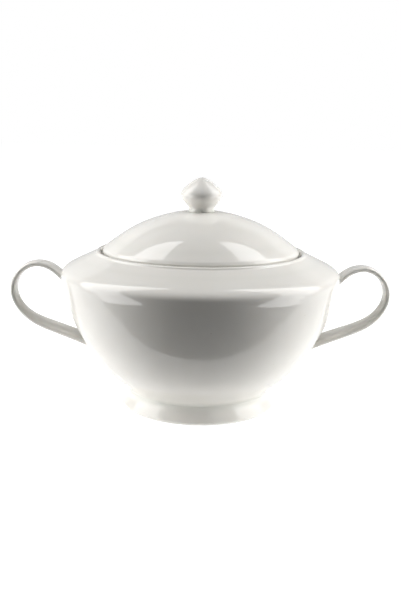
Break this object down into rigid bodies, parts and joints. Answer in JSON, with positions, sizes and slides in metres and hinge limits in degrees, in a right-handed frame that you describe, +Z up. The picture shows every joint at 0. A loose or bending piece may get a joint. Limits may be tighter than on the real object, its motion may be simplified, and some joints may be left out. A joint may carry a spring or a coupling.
{
  "type": "soup tureen",
  "caption": "Round lidded soup tureen on a flared foot ring, with strap handles at both ends, a sunk ledge for the lid, and a low domed lid with a bulb knob that lifts off.",
  "frame": {"origin": "centre of the foot ring's base, on the table", "axes": "+Z up along the bowl's axis; the two handles point along +X and -X; +Y away from the viewer"},
  "size_m": [0.3346, 0.2426, 0.2],
  "materials": {
    "glazed_porcelain": "high gloss, clear glaze over warm white porcelain"
  },
  "bodies": {
    "bowl": {"bowl": "glazed_porcelain", "foot_ring": "glazed_porcelain", "handle_left": "glazed_porcelain", "handle_right": "glazed_porcelain"},
    "lid": {"lid": "glazed_porcelain", "lid_flange": "glazed_porcelain", "knob": "glazed_porcelain"}
  },
  "joints": [
    {"name": "lid_lift", "type": "slide", "parent": "bowl", "child": "lid", "axis": [0, 0, 1], "range_m": [0, 0.12]}
  ]
}
